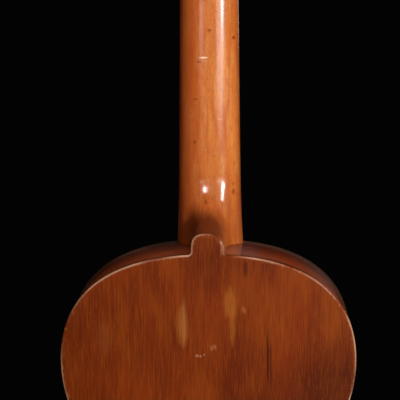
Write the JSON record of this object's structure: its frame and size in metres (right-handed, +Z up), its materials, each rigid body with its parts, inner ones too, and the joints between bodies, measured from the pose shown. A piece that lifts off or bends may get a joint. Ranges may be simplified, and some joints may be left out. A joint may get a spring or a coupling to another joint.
{
  "type": "guitar",
  "caption": "Small-bodied guitar with a flat top, arched back, rounded heel button, plain neck and slotted head with worm tuners.",
  "frame": {"origin": "centre of the end pin's flat outer face, the lowest point", "axes": "+Z up along the neck, +Y out of the back, +X to the treble side"},
  "size_m": [0.321, 0.1053, 0.9517],
  "materials": {
    "back_wood": "old amber-brown varnish, worn to pale patches",
    "rib_wood": "old dark varnish, glossy",
    "neck_wood": "orange-brown varnish over short dark flecks, glossy",
    "soundboard_wood": "aged straight-grained softwood, satin",
    "rosette_inlay": "plain dark and light rings",
    "inner_wood": "bare planed softwood",
    "dark_wood": "blackened hardwood, satin",
    "bone": "yellowed bone, polished",
    "gut": "plain gut string, translucent satin",
    "wound_string": "fine silvered winding",
    "tuner_metal": "nickel-plated brass, dulled"
  },
  "bodies": {
    "instrument": {"soundboard": "soundboard_wood", "rosette": "rosette_inlay", "back": "back_wood", "rib_treble": "rib_wood", "rib_bass": "rib_wood", "neck_block": "inner_wood", "end_block": "inner_wood", "top_lining_treble": "inner_wood", "top_lining_bass": "inner_wood", "back_lining_treble": "inner_wood", "back_lining_bass": "inner_wood", "top_bar_1": "inner_wood", "top_bar_2": "inner_wood", "top_bar_3": "inner_wood", "top_bar_4": "inner_wood", "back_bar_1": "inner_wood", "back_bar_2": "inner_wood", "back_bar_3": "inner_wood", "back_bar_4": "inner_wood", "bridge_plate": "inner_wood", "end_pin": "dark_wood", "neck": "neck_wood", "headstock": "neck_wood", "headstock_veneer": "dark_wood", "fretboard": "dark_wood", "nut": "bone", "bridge": "dark_wood", "saddle": "bone", "bridge_pin_1": "bone", "bridge_pin_2": "bone", "bridge_pin_3": "bone", "bridge_pin_4": "bone", "bridge_pin_5": "bone", "bridge_pin_6": "bone", "string_1": "gut", "string_2": "gut", "string_3": "gut", "string_4": "wound_string", "string_5": "wound_string", "string_6": "wound_string", "tuner_plate_treble": "tuner_metal", "tuner_plate_bass": "tuner_metal"},
    "knob_1": {"tuner_worm_1": "tuner_metal", "tuner_button_1": "bone"},
    "roller_1": {"tuner_roller_1": "tuner_metal"},
    "knob_2": {"tuner_worm_2": "tuner_metal", "tuner_button_2": "bone"},
    "roller_2": {"tuner_roller_2": "tuner_metal"},
    "knob_3": {"tuner_worm_3": "tuner_metal", "tuner_button_3": "bone"},
    "roller_3": {"tuner_roller_3": "tuner_metal"},
    "knob_4": {"tuner_worm_4": "tuner_metal", "tuner_button_4": "bone"},
    "roller_4": {"tuner_roller_4": "tuner_metal"},
    "knob_5": {"tuner_worm_5": "tuner_metal", "tuner_button_5": "bone"},
    "roller_5": {"tuner_roller_5": "tuner_metal"},
    "knob_6": {"tuner_worm_6": "tuner_metal", "tuner_button_6": "bone"},
    "roller_6": {"tuner_roller_6": "tuner_metal"}
  },
  "joints": [
    {"name": "knob_turn_1", "type": "hinge", "parent": "instrument", "child": "knob_1", "pos_m": [0.0405, -0.02668, 0.83702], "axis": [0, 0.9781, -0.2079], "continuous": true},
    {"name": "roller_turn_1", "type": "hinge", "parent": "instrument", "child": "roller_1", "pos_m": [0.014, -0.02833, 0.82925], "axis": [1, 0, 0], "continuous": true},
    {"name": "knob_turn_2", "type": "hinge", "parent": "instrument", "child": "knob_2", "pos_m": [0.0405, -0.0194, 0.87126], "axis": [0, 0.9781, -0.2079], "continuous": true},
    {"name": "roller_turn_2", "type": "hinge", "parent": "instrument", "child": "roller_2", "pos_m": [0.014, -0.02105, 0.86348], "axis": [1, 0, 0], "continuous": true},
    {"name": "knob_turn_3", "type": "hinge", "parent": "instrument", "child": "knob_3", "pos_m": [0.0405, -0.01212, 0.90549], "axis": [0, 0.9781, -0.2079], "continuous": true},
    {"name": "roller_turn_3", "type": "hinge", "parent": "instrument", "child": "roller_3", "pos_m": [0.014, -0.01378, 0.89772], "axis": [1, 0, 0], "continuous": true},
    {"name": "knob_turn_4", "type": "hinge", "parent": "instrument", "child": "knob_4", "pos_m": [-0.0405, -0.01212, 0.90549], "axis": [0, 0.9781, -0.2079], "continuous": true},
    {"name": "roller_turn_4", "type": "hinge", "parent": "instrument", "child": "roller_4", "pos_m": [-0.014, -0.01378, 0.89772], "axis": [1, 0, 0], "continuous": true},
    {"name": "knob_turn_5", "type": "hinge", "parent": "instrument", "child": "knob_5", "pos_m": [-0.0405, -0.0194, 0.87126], "axis": [0, 0.9781, -0.2079], "continuous": true},
    {"name": "roller_turn_5", "type": "hinge", "parent": "instrument", "child": "roller_5", "pos_m": [-0.014, -0.02105, 0.86348], "axis": [1, 0, 0], "continuous": true},
    {"name": "knob_turn_6", "type": "hinge", "parent": "instrument", "child": "knob_6", "pos_m": [-0.0405, -0.02668, 0.83702], "axis": [0, 0.9781, -0.2079], "continuous": true},
    {"name": "roller_turn_6", "type": "hinge", "parent": "instrument", "child": "roller_6", "pos_m": [-0.014, -0.02833, 0.82925], "axis": [1, 0, 0], "continuous": true}
  ],
  "couplings": [
    {"joint": "roller_turn_1", "follows": "knob_turn_1", "ratio": 0.071429},
    {"joint": "roller_turn_2", "follows": "knob_turn_2", "ratio": 0.071429},
    {"joint": "roller_turn_3", "follows": "knob_turn_3", "ratio": 0.071429},
    {"joint": "roller_turn_4", "follows": "knob_turn_4", "ratio": 0.071429},
    {"joint": "roller_turn_5", "follows": "knob_turn_5", "ratio": 0.071429},
    {"joint": "roller_turn_6", "follows": "knob_turn_6", "ratio": 0.071429}
  ]
}
